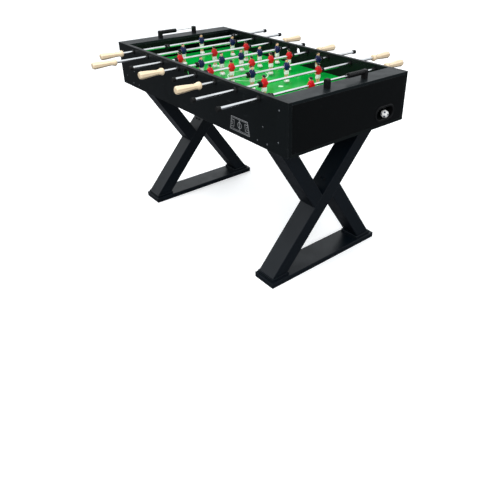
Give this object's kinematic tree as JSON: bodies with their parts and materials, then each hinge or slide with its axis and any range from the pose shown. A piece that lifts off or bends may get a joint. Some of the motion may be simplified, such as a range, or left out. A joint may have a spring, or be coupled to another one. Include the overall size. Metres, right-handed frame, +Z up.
{
  "type": "foosball table",
  "caption": "Table football cabinet on X-shaped legs, with sliding and spinning rods of player figures, wooden handles, bead score counters and ball return cups.",
  "frame": {"origin": "on the floor under the middle of the table", "axes": "+X along the table towards the red team's goal, +Y across the table towards the red team's handles, +Z up"},
  "size_m": [1.405, 1.241, 0.9387],
  "materials": {
    "black_laminate": "satin black laminate on board",
    "green_field": "glossy printed sheet",
    "inner_board": "unfinished black board",
    "black_plastic": "moulded black plastic",
    "leg_black": "satin black legs",
    "screw_steel": "zinc plated",
    "chromed_steel": "bright chrome",
    "red_team": "painted plastic, red",
    "blue_team": "painted plastic, dark blue",
    "handle_wood": "clear varnished pale wood",
    "black_rubber": "matt black rubber",
    "ball_white": "white ball with dark panels"
  },
  "bodies": {
    "cabinet": {"front_side_panel": "black_laminate", "rear_side_panel": "black_laminate", "red_end_panel": "black_laminate", "blue_end_panel": "black_laminate", "goal_walls": "black_laminate", "end_top_plates": "black_laminate", "playfield": "green_field", "playfield_rails": "inner_board", "bottom_panel": "inner_board", "return_cups": "black_plastic", "ball_chutes": "inner_board", "serve_rings": "black_plastic", "rod_bushings": "black_plastic", "leg_beams": "leg_black", "feet": "leg_black", "fasteners": "screw_steel", "score_posts": "black_plastic"},
    "red_goalie_slider": {"red_goalie_stops": "black_rubber"},
    "red_goalie_rod": {"red_goalie_rod": "chromed_steel", "red_goalie_figures": "red_team", "red_goalie_handle": "handle_wood", "red_goalie_end_cap": "black_rubber"},
    "red_defence_slider": {"red_defence_stops": "black_rubber"},
    "red_defence_rod": {"red_defence_rod": "chromed_steel", "red_defence_figures": "red_team", "red_defence_handle": "handle_wood", "red_defence_end_cap": "black_rubber"},
    "blue_attack_slider": {"blue_attack_stops": "black_rubber"},
    "blue_attack_rod": {"blue_attack_rod": "chromed_steel", "blue_attack_figures": "blue_team", "blue_attack_handle": "handle_wood", "blue_attack_end_cap": "black_rubber"},
    "red_midfield_slider": {"red_midfield_stops": "black_rubber"},
    "red_midfield_rod": {"red_midfield_rod": "chromed_steel", "red_midfield_figures": "red_team", "red_midfield_handle": "handle_wood", "red_midfield_end_cap": "black_rubber"},
    "blue_midfield_slider": {"blue_midfield_stops": "black_rubber"},
    "blue_midfield_rod": {"blue_midfield_rod": "chromed_steel", "blue_midfield_figures": "blue_team", "blue_midfield_handle": "handle_wood", "blue_midfield_end_cap": "black_rubber"},
    "red_attack_slider": {"red_attack_stops": "black_rubber"},
    "red_attack_rod": {"red_attack_rod": "chromed_steel", "red_attack_figures": "red_team", "red_attack_handle": "handle_wood", "red_attack_end_cap": "black_rubber"},
    "blue_defence_slider": {"blue_defence_stops": "black_rubber"},
    "blue_defence_rod": {"blue_defence_rod": "chromed_steel", "blue_defence_figures": "blue_team", "blue_defence_handle": "handle_wood", "blue_defence_end_cap": "black_rubber"},
    "blue_goalie_slider": {"blue_goalie_stops": "black_rubber"},
    "blue_goalie_rod": {"blue_goalie_rod": "chromed_steel", "blue_goalie_figures": "blue_team", "blue_goalie_handle": "handle_wood", "blue_goalie_end_cap": "black_rubber"},
    "red_counter": {"red_score_beads": "black_plastic"},
    "blue_counter": {"blue_score_beads": "black_plastic"},
    "ball": {"ball": "ball_white"}
  },
  "joints": [
    {"name": "red_goalie_slide", "type": "slide", "parent": "cabinet", "child": "red_goalie_slider", "axis": [0, 1, 0], "range_m": [-0.017, 0.157]},
    {"name": "red_goalie_spin", "type": "hinge", "parent": "red_goalie_slider", "child": "red_goalie_rod", "pos_m": [0.525, 0, 0.877], "axis": [0, 1, 0], "continuous": true},
    {"name": "red_defence_slide", "type": "slide", "parent": "cabinet", "child": "red_defence_slider", "axis": [0, 1, 0], "range_m": [-0.093, 0.173]},
    {"name": "red_defence_spin", "type": "hinge", "parent": "red_defence_slider", "child": "red_defence_rod", "pos_m": [0.375, 0, 0.877], "axis": [0, 1, 0], "continuous": true},
    {"name": "blue_attack_slide", "type": "slide", "parent": "cabinet", "child": "blue_attack_slider", "axis": [0, 1, 0], "range_m": [-0.144, 0.03]},
    {"name": "blue_attack_spin", "type": "hinge", "parent": "blue_attack_slider", "child": "blue_attack_rod", "pos_m": [0.225, 0, 0.877], "axis": [0, 1, 0], "continuous": true},
    {"name": "red_midfield_slide", "type": "slide", "parent": "cabinet", "child": "red_midfield_slider", "axis": [0, 1, 0], "range_m": [-0.022, 0.086]},
    {"name": "red_midfield_spin", "type": "hinge", "parent": "red_midfield_slider", "child": "red_midfield_rod", "pos_m": [0.075, 0, 0.877], "axis": [0, 1, 0], "continuous": true},
    {"name": "blue_midfield_slide", "type": "slide", "parent": "cabinet", "child": "blue_midfield_slider", "axis": [0, 1, 0], "range_m": [-0.07, 0.038]},
    {"name": "blue_midfield_spin", "type": "hinge", "parent": "blue_midfield_slider", "child": "blue_midfield_rod", "pos_m": [-0.075, 0, 0.877], "axis": [0, 1, 0], "continuous": true},
    {"name": "red_attack_slide", "type": "slide", "parent": "cabinet", "child": "red_attack_slider", "axis": [0, 1, 0], "range_m": [-0.044, 0.13]},
    {"name": "red_attack_spin", "type": "hinge", "parent": "red_attack_slider", "child": "red_attack_rod", "pos_m": [-0.225, 0, 0.877], "axis": [0, 1, 0], "continuous": true},
    {"name": "blue_defence_slide", "type": "slide", "parent": "cabinet", "child": "blue_defence_slider", "axis": [0, 1, 0], "range_m": [-0.153, 0.113]},
    {"name": "blue_defence_spin", "type": "hinge", "parent": "blue_defence_slider", "child": "blue_defence_rod", "pos_m": [-0.375, 0, 0.877], "axis": [0, 1, 0], "continuous": true},
    {"name": "blue_goalie_slide", "type": "slide", "parent": "cabinet", "child": "blue_goalie_slider", "axis": [0, 1, 0], "range_m": [-0.158, 0.016]},
    {"name": "blue_goalie_spin", "type": "hinge", "parent": "blue_goalie_slider", "child": "blue_goalie_rod", "pos_m": [-0.525, 0, 0.877], "axis": [0, 1, 0], "continuous": true},
    {"name": "red_score_slide", "type": "slide", "parent": "cabinet", "child": "red_counter", "axis": [0, 1, 0], "range_m": [-0.107, 0]},
    {"name": "blue_score_slide", "type": "slide", "parent": "cabinet", "child": "blue_counter", "axis": [0, 1, 0], "range_m": [0, 0.107]},
    {"name": "ball_lift_out", "type": "slide", "parent": "cabinet", "child": "ball", "axis": [0.9063, 0, 0.4226], "range_m": [0, 0.038]}
  ]
}
